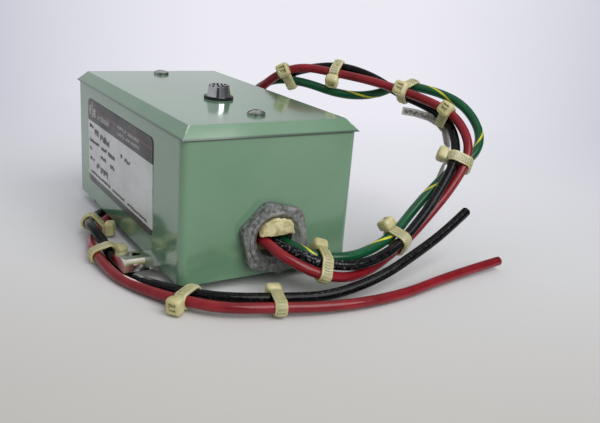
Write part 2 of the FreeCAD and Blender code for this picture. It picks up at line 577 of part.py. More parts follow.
def inner_lead(colour):
    """Inner end of a lead, from the sealing compound to its terminal on the board."""
    x, y, z = ROUTES[colour][0]
    back = size("plug_back") - size("box_length") / 2
    terminal_y = size("board_y") - size("board_length") / 2 + size("terminal_back")
    inner = Part.makeCylinder(size("lead_radius"), terminal_y - back, Vector(x, back, z),
                              Vector(0, 1, 0))
    shape_node(f"inner_lead_{colour}", inner)
    board_top = (size("floor_gap") + size("wall") + size("standoff_height")
                 + size("board_thickness"))
    width = size("terminal_width")
    lug = Part.makeBox(width, size("terminal_length"), z + size("lead_radius") - board_top,
                       Vector(x - width / 2, terminal_y, board_top))
    shape_node(f"terminal_{colour}", lug)


def nearest_on(points, place):
    """Index of the point nearest to a place."""
    return min(range(len(points)), key=lambda i: points[i].distanceToPoint(place))


def hull(points):
    """Convex hull, counter-clockwise, of a few 2-D points."""
    points = sorted(points)

    def chain(ordered):
        kept = []
        for point in ordered:
            while len(kept) > 1:
                (ax, ay), (bx, by) = kept[-2], kept[-1]
                if (bx - ax) * (point[1] - ay) - (by - ay) * (point[0] - ax) > 1e-9:
                    break
                kept.pop()
            kept.append(point)
        return kept[:-1]
    return chain(points) + chain(points[::-1])


def band_face(corners, radius, height):
    """Face of the outline that a cord stretched round circles at the corners would take."""
    count = len(corners)
    normals = []
    for i in range(count):
        (ax, ay), (bx, by) = corners[i], corners[(i + 1) % count]
        length = math.hypot(bx - ax, by - ay)
        normals.append(((by - ay) / length, (ax - bx) / length))
    edges = []
    for i in range(count):
        cx, cy = corners[i]
        (px, py), (nx, ny) = normals[i - 1], normals[i]
        mx, my = px + nx, py + ny
        if math.hypot(mx, my) < 1e-6:
            mx, my = py * -1, px
        scale = radius / math.hypot(mx, my)
        first = Vector(cx + radius * px, cy + radius * py, height)
        middle = Vector(cx + mx * scale, cy + my * scale, height)
        last = Vector(cx + radius * nx, cy + radius * ny, height)
        if first.distanceToPoint(last) > 1e-4:
            edges.append(Part.Arc(first, middle, last).toShape())
        nextx, nexty = corners[(i + 1) % count]
        edges.append(Part.LineSegment(last, Vector(nextx + radius * nx, nexty + radius * ny,
                                                   height)).toShape())
    return Part.Face(Part.Wire(edges))


# Each tie: the leads that it holds, a point of its first lead's route, and the way its head faces.
TIES = [
    (("red", "black", "green"), 3, (0.35, 0.75, 0.55)),
    (("red", "black", "green"), 4.85, (-0.55, 0.3, 0.7)),
    (("red", "black", "green"), 7.85, (-0.84, 0.54, 0)),
    (("red", "black"), 10.25, (-0.5, -0.8, 0.15)),
    (("red", "black", "green"), 12, (-0.5, -0.8, 0.3)),
    (("red", "black"), 14, (-0.3, -0.7, -0.65)),
    (("red", "black", "green"), 15.75, (-0.1, -0.9, 0.45)),
    (("red", "black"), 26.05, (0.84, -0.54, 0.05)),
    (("red", "black"), 28.55, (1, 0.1, -0.1)),
    (("red", "black"), 33, (-0.4, -0.9, 0)),
    (("red", "black"), 35, (0.2, 0.95, 0.05)),
]


def cable_tie(number, held, index, facing, paths):
    """Strap round the leads at one place, with its square head on the side named by facing."""
    sampled = {colour: paths[colour].discretize(Distance=0.5) for colour in held}
    centre_line = sampled[held[0]]
    route = ROUTES[held[0]]
    before, after = Vector(*route[int(index)]), Vector(*route[int(index) + 1])
    spot = nearest_on(centre_line, before + (after - before) * (index - int(index)))
    spot = max(4, min(len(centre_line) - 5, spot))
    centre = centre_line[spot]
    along = (centre_line[spot + 4] - centre_line[spot - 4]).normalize()
    head_way = Vector(*facing)
    head_way = (head_way - along * head_way.dot(along)).normalize()
    side_way = along.cross(head_way)
    flat = []
    half = size("tie_width") / 2
    for colour in held:
        for point in sampled[colour][max(0, spot - 90):spot + 90]:
            offset = point - centre
            if abs(offset.dot(along)) < half + 1.2 and offset.Length < 9 * size("lead_radius"):
                flat.append((offset.dot(head_way), offset.dot(side_way)))
    corners = hull(flat)
    clear = size("lead_radius") + size("tie_clearance")
    outer = band_face(corners, clear + size("tie_strap"), -half)
    inner = band_face(corners, clear, -half)
    strap = outer.cut(inner).extrude(Vector(0, 0, 2 * half))
    top_x = max(x for x, _ in corners)
    highest = [y for x, y in corners if x > top_x - 1.0]
    top_y = sum(highest) / len(highest)
    head = Part.makeBox(size("tie_head_depth"), size("tie_head"), size("tie_head_width"),
                        Vector(top_x + clear + 0.2, top_y - size("tie_head") / 2,
                               -size("tie_head_width") / 2))
    tie = strap.fuse(head.cut(inner.extrude(Vector(0, 0, 2 * half)))).removeSplitter()
    place = FreeCAD.Placement(centre, FreeCAD.Rotation(head_way, side_way, along, "XYZ"))
    shape_node(f"cable_tie_{number:02d}", tie, place)


enclosure_body()
lid()
for screw_end, screw_sign in (("near", "-"), ("far", "")):
    lid_screw(screw_end)
    lid_bracket(screw_end, screw_sign)
indicator()
gland()
nameplate()
mounting_foot("left", half_turn=False)
mounting_foot("right", half_turn=True)
circuit_board()
for varistor_number in (1, 2, 3):
    varistor(varistor_number)
board_parts()
lead_paths = {}
for lead_colour in ROUTES:
    lead_paths[lead_colour] = lead(lead_colour)
    inner_lead(lead_colour)
for tie_number, (held_leads, route_index, head_facing) in enumerate(TIES, start=1):
    cable_tie(tie_number, held_leads, route_index, head_facing, lead_paths)

doc.recompute()
for thing in doc.Objects:
    if "Invalid" in thing.State or "Error" in thing.State:
        raise RuntimeError(f"{thing.Name} failed: {thing.State}")
for label, thing in nodes:
    if thing.Shape.isNull() or not thing.Shape.isValid() or not thing.Shape.Solids:
        raise RuntimeError(f"{label} has no valid solid")
os.makedirs("parts", exist_ok=True)
for label, thing in nodes:
    thing.Shape.exportStep(f"parts/{label}.step")
print(len(nodes), "sub-parts written")
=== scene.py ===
import math
import random

import bmesh
import bpy
from mathutils import Matrix, Vector, noise


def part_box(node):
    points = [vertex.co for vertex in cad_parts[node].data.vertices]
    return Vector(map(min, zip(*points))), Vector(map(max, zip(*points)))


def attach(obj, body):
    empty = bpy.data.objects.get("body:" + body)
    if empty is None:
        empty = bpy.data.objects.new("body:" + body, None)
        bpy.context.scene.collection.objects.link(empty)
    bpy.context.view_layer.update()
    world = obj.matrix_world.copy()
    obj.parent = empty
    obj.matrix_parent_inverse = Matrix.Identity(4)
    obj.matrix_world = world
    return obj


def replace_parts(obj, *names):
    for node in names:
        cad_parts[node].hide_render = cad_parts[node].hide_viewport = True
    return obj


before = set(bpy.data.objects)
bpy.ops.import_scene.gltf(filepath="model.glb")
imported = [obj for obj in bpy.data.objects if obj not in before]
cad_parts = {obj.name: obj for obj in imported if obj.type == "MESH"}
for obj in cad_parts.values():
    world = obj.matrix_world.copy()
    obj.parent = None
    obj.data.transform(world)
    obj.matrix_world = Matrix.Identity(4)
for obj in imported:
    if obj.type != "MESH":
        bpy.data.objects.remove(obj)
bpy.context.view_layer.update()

# Camera: it stands a little left of the gland end and above the lid, looking along the box.
# The columns are its right, up and backward directions, so the long face runs away to the left.
camera = bpy.data.objects.new("camera", bpy.data.cameras.new("camera"))
bpy.context.scene.collection.objects.link(camera)
bpy.context.scene.camera = camera
camera.matrix_world = Matrix((
    (0.85043466, 0.10382197, -0.51573433, -0.13169934),
    (-0.52043456, 0.30927372, -0.79592565, -0.28842151),
    (0.07686851, 0.94528872, 0.31704963, 0.11745016),
    (0, 0, 0, 1)))
camera.data.sensor_width = 36
camera.data.lens = 42.881
camera.data.clip_start = 0.01
camera.data.clip_end = 20


def linear(code):
    """The linear colour of an sRGB hex code."""
    parts = [int(code[i:i + 2], 16) / 255 for i in (1, 3, 5)]
    return [p / 12.92 if p <= 0.04045 else ((p + 0.055) / 1.055) ** 2.4 for p in parts] + [1.0]


def add(tree, kind, sockets=None, **settings):
    """Adds a node; a socket is given a value, or the output that it is linked to."""
    made = tree.nodes.new(kind)
    for name, value in settings.items():
        setattr(made, name, value)
    for socket, value in (sockets or {}).items():
        if isinstance(value, bpy.types.NodeSocket):
            tree.links.new(value, made.inputs[socket])
        else:
            made.inputs[socket].default_value = value
    return made


def start_finish(name, surface):
    """A new material of that name: its tree, its shader, and where a point lies on the object."""
    material = bpy.data.materials.new(name)
    material.use_nodes = True
    tree = material.node_tree
    tree.nodes.clear()
    shader = add(tree, "ShaderNodeBsdfPrincipled", surface)
    add(tree, "ShaderNodeOutputMaterial", {"Surface": shader.outputs[0]})
    return material, tree, shader, add(tree, "ShaderNodeTexCoord").outputs["Object"]


def blended(tree, share, first, second):
    """Output of a mix of two colours, each a hex code or another node's output."""
    colours = [linear(c) if isinstance(c, str) else c for c in (first, second)]
    return add(tree, "ShaderNodeMix", {0: share, 6: colours[0], 7: colours[1]},
               data_type="RGBA").outputs[2]


def spread(tree, value, low, high, to_low=0.0, to_high=1.0):
    """Output that runs from to_low to to_high as the value goes from low to high."""
    return add(tree, "ShaderNodeMapRange",
               {0: value, 1: low, 2: high, 3: to_low, 4: to_high}).outputs[0]


def mottled(tree, shader, place, grain, first, second, low=0.35, high=0.65):
    """Colours a finish by a noise of that scale and detail, and gives the noise."""
    made = add(tree, "ShaderNodeTexNoise", {"Vector": place, "Scale": grain[0], "Detail": grain[1]})
    tree.links.new(blended(tree, spread(tree, made.outputs[0], low, high), first, second),
                   shader.inputs["Base Color"])
    return made.outputs[0]


def bumped(tree, shader, height, strength, distance):
    """Raises and sinks a finish's surface by that height."""
    made = add(tree, "ShaderNodeBump", {"Strength": strength, "Distance": distance,
                                        "Height": height})
    tree.links.new(made.outputs[0], shader.inputs["Normal"])


def dress(finish, *names):
    """Gives these pieces of the frame that finish and no other."""
    for name in names:
        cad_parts[name].data.materials.clear()
        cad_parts[name].data.materials.append(finish)


# The three leads: #10 stranded copper under a hard, shiny extruded jacket, stiff enough to hold
# their bends. They leave the gland, are tied into a bundle, and rise in a loop beside the lid.
# Each route is in millimetres, from inside the gland to the lead's far end.
lead_width = 0.0041
lead_routes = {
    "red": [
        (-4.6, -60, 20), (-4.6, -68.5, 20), (-0.8, -79.7, 16), (12.3, -87.8, 9.6), (32, -85, 6),
        (57, -78.5, 14), (72.5, -75, 24), (84, -74.5, 35.5), (92.5, -72.5, 46), (97, -66.5, 54),
        (97, -56, 62), (92, -45, 66), (85, -32.5, 69), (77, -18.5, 71.5), (66, -4, 73),
        (54, 7, 74.5), (45, 13, 70), (40, 20.5, 62.5), (40.5, 30, 54), (46.5, 44.5, 39),
        (52, 56.5, 19), (44, 59.5, 2.1), (25, 56, 2.1), (0, 46.5, 2.1), (-23, 35, 2.1),
        (-37.4, 21.5, 2.1), (-45.4, 7, 4.3), (-51.5, -5, 3), (-54.9, -16, 4), (-55, -28, 3.7),
        (-53.6, -42, 2.3), (-49.8, -54, 2.5), (-45, -64.5, 3), (-40, -74.5, 4.1), (-29, -86, 4),
        (-10.5, -93, 4), (11.5, -99, 3), (40.5, -99.5, 2.5), (71, -93, 3), (102, -90.5, 4)],
    "black": [
        (0, -60, 19), (0, -68, 19), (4, -77.3, 16.8), (14.5, -84.5, 13.3), (30, -87, 11.5),
        (49, -83.5, 15), (65.5, -78.5, 25), (76.5, -75, 34.5), (86.5, -71, 45),
        (93, -63.5, 51.5), (97, -54, 57.5), (94.5, -41.5, 63), (87.5, -28, 66.5),
        (80.5, -14.5, 73), (71, -1, 76), (59.5, 11, 73), (51.5, 19.5, 68), (47, 29, 63.5),
        (46, 37, 55.5), (51, 48.5, 39), (55, 61, 18.5), (44, 64.5, 2.1), (24, 60.5, 2.1),
        (0, 51.5, 2.1), (-22, 41.5, 2.3), (-38.8, 29, 2.1), (-46.9, 14, 5.5), (-51.3, 1, 8.4),
        (-51.3, -9, 8.7), (-49.9, -16.5, 5.9), (-50.3, -23.3, 4.7), (-50.1, -29.8, 2.1),
        (-49.2, -41, 2.1), (-46, -50, 2.1), (-42, -58.5, 3), (-36.8, -68.5, 4.1),
        (-25.5, -78.5, 4), (-6, -86.5, 4), (13.5, -90.5, 3), (36, -91.5, 7.5),
        (57, -87.5, 13.5), (73, -84.5, 19), (87.5, -81, 25.5)],
    "green": [
        (4.6, -60, 18), (4.6, -68, 18), (8.4, -76, 16.4), (17.5, -81, 13.8), (33, -81.5, 13.5),
        (51, -78, 18), (64.5, -72.5, 25.5), (75.5, -69.5, 32), (87, -68, 40),
        (101, -68.5, 46), (110, -61.5, 54), (111.5, -48.5, 63.5), (105, -37.5, 68.5),
        (92, -23, 70.5), (82, -14.5, 63.5), (69.5, -5, 62.5), (56, 6.5, 67), (48, 16.5, 67),
        (44, 24, 64), (41, 36.5, 54.5), (43.5, 50, 42.5), (47, 60, 32)],
}
# Each jacket: its two shades, its index of refraction, and how uneven its skin is.
jackets = {"red": ("#74141B", "#8C1E28", 1.42, 0.2), "black": ("#050506", "#0C0C0E", 1.27, 0.6),
           "green": ("#0C4529", "#145634", 1.42, 0.2)}
speckled_stretch = (0.012, -0.080, 0.017)
lead_curves = {}
for lead_colour, route in lead_routes.items():
    curve = bpy.data.curves.new(f"{lead_colour}_lead_jacket", "CURVE")
    curve.dimensions = "3D"
    curve.resolution_u = 12
    curve.bevel_depth = lead_width / 2
    curve.bevel_resolution = 5
    curve.use_fill_caps = True
    spline = curve.splines.new("NURBS")
    spline.points.add(len(route) - 1)
    for control, (x, y, z) in zip(spline.points, route):
        control.co = (x / 1000, y / 1000, z / 1000, 1)
    spline.order_u = 3
    spline.use_endpoint_u = True
    lead_curves[lead_colour] = bpy.data.objects.new(curve.name, curve)
    bpy.context.scene.collection.objects.link(lead_curves[lead_colour])

    # Nylon over PVC: a clear hard skin that shows sharp highlights, and rubs dull in places. The
    # black one has grey specks on its stretch beside the gland, partly dust and partly painted
    # highlights of its pitted skin.
    dark, light, gloss, lumps = jackets[lead_colour]
    jacket, tree, shader, place = start_finish(
        f"extruded_nylon_jacket_{lead_colour}", {"Roughness": 0.15, "IOR": gloss})
    cloudy = add(tree, "ShaderNodeTexNoise", {"Vector": place, "Scale": 90.0, "Detail": 3.0})
    plastic = blended(tree, spread(tree, cloudy.outputs[0], 0.35, 0.65), dark, light)
    if lead_colour == "black":
        # Grey specks near the gland: partly dust, partly painted highlights.
        speck_noise = add(tree, "ShaderNodeTexNoise", {"Vector": place, "Scale": 1100.0, "Detail": 3.0})
        away = add(tree, "ShaderNodeVectorMath", {0: place, 1: speckled_stretch},
                   operation="DISTANCE").outputs["Value"]
        dust_and_glints = add(tree, "ShaderNodeMath", {0: spread(tree, speck_noise.outputs[0], 0.54, 0.66),
                                             1: spread(tree, away, 0.010, 0.018, 0.4, 0.03)},
                    operation="MULTIPLY").outputs[0]
        plastic = blended(tree, dust_and_glints, plastic, "#B8B8BC")
    tree.links.new(plastic, shader.inputs["Base Color"])
    scuffed = add(tree, "ShaderNodeTexNoise", {"Vector": place, "Scale": 260.0, "Detail": 4.0})
    tree.links.new(spread(tree, scuffed.outputs[0], 0.4, 0.7, 0.09, 0.26),
                   shader.inputs["Roughness"])
    bumped(tree, shader, scuffed.outputs[0], lumps, 0.0004)
    curve.materials.append(jacket)
    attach(lead_curves[lead_colour], "box")
    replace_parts(lead_curves[lead_colour], f"{lead_colour}_lead")


def grown(source, name):
    """The mesh that an object's modifiers give."""
    bpy.context.view_layer.update()
    seen = source.evaluated_get(bpy.context.evaluated_depsgraph_get())
    made = bpy.data.meshes.new_from_object(seen)
    made.name = name
    return made


def start_group(name, wanted):
    """A new Geometry Nodes group: its tree, its inputs, and each input's value by identifier."""
    group = bpy.data.node_groups.new(name, "GeometryNodeTree")
    for way in ("INPUT", "OUTPUT"):
        group.interface.new_socket("Geometry", in_out=way, socket_type="NodeSocketGeometry")
    values = {}
    for title, kind, value in wanted:
        socket = group.interface.new_socket(title, in_out="INPUT",
                                            socket_type=f"NodeSocket{kind}")
        values[socket.identifier] = value
    return group, add(group, "NodeGroupInput").outputs, values


def group_made(name, points, edges, group, values):
    """The mesh that a Geometry Nodes group makes from these points and edges."""
    start = bpy.data.meshes.new(name)
    start.from_pydata(points, edges, [])
    carrier = bpy.data.objects.new(name, start)
    bpy.context.scene.collection.objects.link(carrier)
    modifier = carrier.modifiers.new(name, "NODES")
    modifier.node_group = group
    for identifier, value in values.items():
        modifier[identifier] = value
    made = grown(carrier, f"{name}_mesh")
    bpy.data.objects.remove(carrier)
    return made


# Cable ties: eleven moulded natural nylon ties, cream with age and slightly see-through. Each is
# a ribbed strap pulled tight round its leads, through a rounded head, and trimmed flush.
tie_width, tie_strap, rib_pitch, tie_clear = 0.0046, 0.0009, 0.0011, 0.0001
nylon, tree, shader, place = start_finish(
    "natural_nylon_aged", {"Roughness": 0.38, "IOR": 1.53, "Subsurface Weight": 0.5,
                           "Subsurface Scale": 0.0035, "Subsurface Radius": (1.0, 0.85, 0.5)})
mottled(tree, shader, place, (120.0, 3.0), "#B5AE7C", "#D3CC9E")
moulded = add(tree, "ShaderNodeTexNoise", {"Vector": place, "Scale": 900.0, "Detail": 2.0})
bumped(tree, shader, moulded.outputs[0], 0.15, 0.0002)
strap_tree, given, strap_values = start_group(
    "ribbed_strap", (("Width", "Float", tie_width), ("Thickness", "Float", tie_strap),
                     ("Rib pitch", "Float", rib_pitch), ("Finish", "Material", nylon)))
line = add(strap_tree, "GeometryNodeMeshToCurve", {"Mesh": given["Geometry"]})
line = add(strap_tree, "GeometryNodeResampleCurve", {"Curve": line.outputs[0], "Length": 0.0005},
           mode="LENGTH")
line = add(strap_tree, "GeometryNodeSetCurveNormal", {"Curve": line.outputs[0]}, mode="Z_UP")
band = add(strap_tree, "GeometryNodeCurvePrimitiveQuadrilateral",
           {"Width": given["Thickness"], "Height": given["Width"]})
band = add(strap_tree, "GeometryNodeFilletCurve", {"Curve": band.outputs[0], "Radius": 0.00025,
                                                   "Count": 2, "Limit Radius": True},
           mode="POLY")
band = add(strap_tree, "GeometryNodeCurveToMesh", {"Curve": line.outputs[0],
                                                   "Profile Curve": band.outputs[0]})
spots = add(strap_tree, "GeometryNodeCurveToPoints", {"Curve": line.outputs[0],
                                                      "Length": given["Rib pitch"]},
            mode="LENGTH")
rib_width = add(strap_tree, "ShaderNodeMath", {0: given["Width"], 1: 0.62},
                operation="MULTIPLY")
rib_size = add(strap_tree, "ShaderNodeCombineXYZ", {0: 0.0007, 1: rib_width.outputs[0],
                                                    2: 0.0005})
rib = add(strap_tree, "GeometryNodeMeshCube", {"Size": rib_size.outputs[0]})
outward = add(strap_tree, "ShaderNodeMath", {0: given["Thickness"], 1: 0.5},
              operation="MULTIPLY")
lifted = add(strap_tree, "ShaderNodeCombineXYZ", {0: outward.outputs[0]})
rib = add(strap_tree, "GeometryNodeTransform", {"Geometry": rib.outputs[0],
                                                "Translation": lifted.outputs[0]})
ribs = add(strap_tree, "GeometryNodeInstanceOnPoints",
           {"Points": spots.outputs[0], "Instance": rib.outputs[0],
            "Rotation": spots.outputs["Rotation"]})
both = add(strap_tree, "GeometryNodeJoinGeometry")
strap_tree.links.new(band.outputs[0], both.inputs[0])
strap_tree.links.new(ribs.outputs[0], both.inputs[0])
whole = add(strap_tree, "GeometryNodeRealizeInstances", {"Geometry": both.outputs[0]})
whole = add(strap_tree, "GeometryNodeSetMaterial", {"Geometry": whole.outputs[0],
                                                    "Material": given["Finish"]})
add(strap_tree, "NodeGroupOutput", {"Geometry": whole.outputs[0]})


def shown(name, mesh, body):
    """An object of that mesh, in place, which moves with that CAD body."""
    made = bpy.data.objects.new(name, mesh)
    bpy.context.scene.collection.objects.link(made)
    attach(made, body)
    return made


# The line that each lead's spline gives, as points about a millimetre apart.
lead_lines = {}
for lead_colour, lead_object in lead_curves.items():
    bare = lead_object.copy()
    bare.data = lead_object.data.copy()
    bare.parent = None
    bare.data.bevel_depth = 0
    bare.data.use_fill_caps = False
    bpy.context.scene.collection.objects.link(bare)
    lead_lines[lead_colour] = [v.co.copy() for v in grown(bare, "line").vertices]
    bpy.data.objects.remove(bare)


def nearest(points, place):
    """Index of the point nearest to a place."""
    return min(range(len(points)), key=lambda i: (points[i] - place).length)


def wrapped(points, radius):
    """The closed line that a cord stretched round equal circles at these 2-D points takes."""
    ring = [(x + radius * math.cos(a * math.pi / 24), y + radius * math.sin(a * math.pi / 24))
            for x, y in points for a in range(48)]
    ring.sort()
    outline = []
    for ordered in (ring, ring[::-1]):
        kept = []
        for p in ordered:
            while len(kept) > 1 and ((kept[-1][0] - kept[-2][0]) * (p[1] - kept[-2][1])
                                     - (kept[-1][1] - kept[-2][1]) * (p[0] - kept[-2][0])) <= 0:
                kept.pop()
            kept.append(p)
        outline += kept[:-1]
    return outline


# Each tie: the leads that it holds, its place along the route of the first of them, counted in
# route points, and the way that its head faces.
tie_places = [
    (("red", "black", "green"), 3, (0.35, 0.75, 0.55)),
    (("red", "black", "green"), 4.85, (-0.55, 0.3, 0.7)),
    (("red", "black", "green"), 7.85, (-0.84, 0.54, 0)),
    (("red", "black"), 10.25, (-0.5, -0.8, 0.15)),
    (("red", "black", "green"), 12, (-0.5, -0.8, 0.3)),
    (("red", "black"), 14, (-0.3, -0.7, -0.65)),
    (("red", "black", "green"), 15.75, (-0.1, -0.9, 0.45)),
    (("red", "black"), 26.05, (0.84, -0.54, 0.05)),
    (("red", "black"), 28.55, (1, 0.1, -0.1)),
    (("red", "black"), 33, (-0.4, -0.9, 0)),
    (("red", "black"), 35, (0.2, 0.95, 0.05)),
]
beside, half_band, band_reach = 40, 0.0032, 0.016
for number, (held, index, facing) in enumerate(tie_places, start=1):
    route = [Vector(p) / 1000 for p in lead_routes[held[0]]]
    centre_line = lead_lines[held[0]]
    spot = nearest(centre_line, route[int(index)].lerp(route[int(index) + 1], index % 1))
    centre = centre_line[spot]
    along = (centre_line[spot + 2] - centre_line[spot - 2]).normalized()
    head_way = Vector(facing)
    head_way = (head_way - along * head_way.dot(along)).normalized()
    side_way = along.cross(head_way)
    crossed = []
    for lead_colour in held:
        for p in lead_lines[lead_colour][max(0, spot - beside):spot + beside]:
            offset = p - centre
            if abs(offset.dot(along)) < half_band and offset.length < band_reach:
                crossed.append((offset.dot(head_way), offset.dot(side_way)))
    loop = wrapped(crossed, lead_width / 2 + tie_clear + tie_strap / 2)
    tie_mesh = group_made(f"tie_{number:02d}", [(x, y, 0) for x, y in loop],
                          [(i, (i + 1) % len(loop)) for i in range(len(loop))],
                          strap_tree, strap_values)

    # Head: a well rounded block, hollowed to the pawl, and the trimmed tail in its hollow. Each
    # is given by its size, how far out and aside its middle lies, and how round its edges are.
    top = max(x for x, _ in loop)
    level = [y for x, y in loop if x > top - 0.0008]
    level = sum(level) / len(level)
    parts = bmesh.new()
    parts.from_mesh(tie_mesh)
    for size, lift, side, ease in (((0.0046, 0.0064, 0.0061), 0.0024, 0, 0.0015),
                                   ((0.0030, 0.0011, 0.0026), 0.0030, 0.0004, 0.0003)):
        block = bmesh.ops.create_cube(parts, size=1)["verts"]
        bmesh.ops.scale(parts, vec=size, verts=block)
        bmesh.ops.translate(parts, vec=(top + lift, level + side, 0), verts=block)
        bmesh.ops.bevel(parts, geom=list({e for v in block for e in v.link_edges}), offset=ease,
                        segments=4, affect="EDGES", profile=0.5, clamp_overlap=True)
        if not side:
            outer = max(parts.faces, key=lambda f: f.calc_center_median().x)
            bmesh.ops.inset_region(parts, faces=[outer], thickness=0.0004)
            bmesh.ops.translate(parts, vec=(-0.0010, 0, 0), verts=outer.verts)
    bmesh.ops.recalc_face_normals(parts, faces=parts.faces)
    parts.to_mesh(tie_mesh)
    parts.free()
    tie_mesh.transform(Matrix((
        (head_way.x, side_way.x, along.x, centre.x), (head_way.y, side_way.y, along.y, centre.y),
        (head_way.z, side_way.z, along.z, centre.z), (0, 0, 0, 1))))
    for face in tie_mesh.polygons:
        face.material_index = 0
    tie_mesh.materials.clear()
    tie_mesh.materials.append(nylon)
    tie_mesh.shade_smooth()
    tie_mesh.set_sharp_from_angle(angle=0.7)
    tie = shown(f"nylon_tie_{number:02d}", tie_mesh, "box")
    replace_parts(tie, f"cable_tie_{number:02d}")

# Green lead's stripe: one yellow line extruded into the jacket, wound round it as the lead was
# twisted, so that it comes and goes along the loop. Paint-thin, and bright.
stripe_start, stripe_twist, stripe_step, stripe_rise = 2.35, 0.2, 0.12, 0.00006
stripe_line = lead_lines["green"]
stripe_points, stripe_faces = [], []
reference = Vector((0, 0, 1))
for i, centre in enumerate(stripe_line):
    ahead = stripe_line[min(i + 1, len(stripe_line) - 1)]
    behind = stripe_line[max(i - 1, 0)]
    along = (ahead - behind).normalized()
    reference = (reference - along * reference.dot(along)).normalized()
    side_way = along.cross(reference)
    for k in range(5):
        turn = stripe_start + i * stripe_twist + (k - 2) * stripe_step
        stripe_points.append(centre + (reference * math.cos(turn) + side_way * math.sin(turn))
                             * (lead_width / 2 + stripe_rise - 0.00005 * (k in (0, 4))))
    if i:
        stripe_faces += [(5 * i - 5 + k, 5 * i + k, 5 * i + k + 1, 5 * i - 4 + k)[::-1]
                         for k in range(4)]
stripe_mesh = bpy.data.meshes.new("green_lead_stripe_mesh")
stripe_mesh.from_pydata(stripe_points, [], stripe_faces)
yellow, tree, shader, place = start_finish(
    "extruded_nylon_stripe_yellow", {"Roughness": 0.25, "IOR": 1.53})
mottled(tree, shader, place, (300.0, 3.0), "#D6CF2E", "#A9B02C", high=0.7)
stripe_mesh.materials.append(yellow)
stripe_mesh.shade_smooth()
stripe = shown("green_lead_stripe", stripe_mesh, "box")

# Cut ends: each lead is cut square, and nineteen copper strands, dulled with age, show in the
# middle of the jacket. They stand a hair proud of it.
copper, tree, shader, place = start_finish(
    "bare_copper_tarnished", {"Metallic": 1.0, "Roughness": 0.42})
mottled(tree, shader, place, (900.0, 3.0), "#A5704A", "#4A3428")
strand_tree, given, strand_values = start_group(
    "strand_bundle", (("Strand radius", "Float", 0.00027), ("Strand length", "Float", 0.002),
                      ("Finish", "Material", copper)))
strand = add(strand_tree, "GeometryNodeMeshCylinder",
             {"Vertices": 12, "Radius": given["Strand radius"], "Depth": given["Strand length"]},
             fill_type="NGON")
strand = add(strand_tree, "GeometryNodeInstanceOnPoints",
             {"Points": given["Geometry"], "Instance": strand.outputs[0]})
strand = add(strand_tree, "GeometryNodeRealizeInstances", {"Geometry": strand.outputs[0]})
strand = add(strand_tree, "GeometryNodeSetMaterial", {"Geometry": strand.outputs[0],
                                                      "Material": given["Finish"]})
add(strand_tree, "NodeGroupOutput", {"Geometry": strand.outputs[0]})
for lead_colour, line in lead_lines.items():
    lay = [(0, 0)]
    for ring_count, ring_radius in ((6, 0.00055), (12, 0.00108)):
        lay += [(ring_radius * math.cos(2 * math.pi * k / ring_count + ring_count),
                 ring_radius * math.sin(2 * math.pi * k / ring_count + ring_count))
                for k in range(ring_count)]
    end_mesh = group_made(f"{lead_colour}_lead_strands",
                          [(x, y, 0.00012 * (k % 3)) for k, (x, y) in enumerate(lay)], [],
                          strand_tree, strand_values)
    outward = (line[-1] - line[-3]).normalized()
    turned = outward.to_track_quat("Z", "Y").to_matrix().to_4x4()
    end_mesh.transform(Matrix.Translation(line[-1] - outward * 0.0003) @ turned)
    shown(f"{lead_colour}_lead_strands", end_mesh, "box")

# Marker strip: a white vinyl strip tied in with the leads inside the loop, its free end showing
# past a tie. Its print is only hinted at, as a row of dark strokes.
vinyl, tree, shader, place = start_finish("white_vinyl_strip", {"Roughness": 0.45, "IOR": 1.5})
mottled(tree, shader, place, (160.0, 4.0), "#C9C6C2", "#A9A5A0", high=0.7)
ink, tree, shader, place = start_finish("flat_black_ink", {"Roughness": 0.55})
mottled(tree, shader, place, (700.0, 4.0), "#2B2626", "#6A6462", 0.45, 0.75)
strip_half_width, strip_half_thick, print_half_height, print_proud = 0.0018, 0.0001, 0.0013, 0.00013
# The strip's route in millimetres, with the direction across it at each point.
strip_route = [
    ((83.8, -35.5, 60.4), (0.25, -0.2, -0.95)), ((88.4, -39.8, 60.0), (0.25, -0.2, -0.95)),
    ((92.6, -44.7, 58.9), (0.1, -0.3, -0.95)), ((95.4, -49.0, 56.8), (-0.2, -0.4, -0.9)),
    ((96.2, -52.4, 54.0), (-0.5, -0.5, -0.7)), ((93.9, -57.6, 47.9), (-0.7, -0.5, -0.5)),
    ((89.7, -61.7, 41.6), (-0.75, -0.45, -0.45)), ((83.6, -65.2, 35.8), (-0.8, -0.3, 0.2)),
    ((77.6, -68.0, 30.2), (-0.8, -0.3, 0.3)), ((72.2, -70.2, 25.8), (-0.8, -0.3, 0.3))]
strip_points, strip_faces = [], []
rows = []
for (start, start_across), (end, end_across) in zip(strip_route, strip_route[1:]):
    for step in range(8):
        share = step / 8
        centre = Vector(start).lerp(Vector(end), share) / 1000
        along = (Vector(end) - Vector(start)).normalized()
        across = Vector(start_across).lerp(Vector(end_across), share)
        across = (across - along * across.dot(along)).normalized()
        rows.append((centre, across, across.cross(along)))
for i, (centre, across, face_way) in enumerate(rows):
    strip_points += [centre + across * strip_half_width * side + face_way * strip_half_thick * level
                     for side, level in ((-1, -1), (-1, 1), (1, 1), (1, -1))]
    if i:
        strip_faces += [(4 * i - 4 + k, 4 * i - 4 + (k + 1) % 4, 4 * i + (k + 1) % 4, 4 * i + k)
                        for k in range(4)]
strip_faces += [(0, 1, 2, 3), tuple(len(strip_points) - k for k in (1, 2, 3, 4))]
strip_mesh = bpy.data.meshes.new("marker_strip_mesh")
strip_mesh.from_pydata(strip_points, [], strip_faces)
strip_mesh.materials.append(vinyl)
strip_mesh.materials.append(ink)
letters = bmesh.new()
letters.from_mesh(strip_mesh)
bmesh.ops.recalc_face_normals(letters, faces=letters.faces)
dice = random.Random(4)
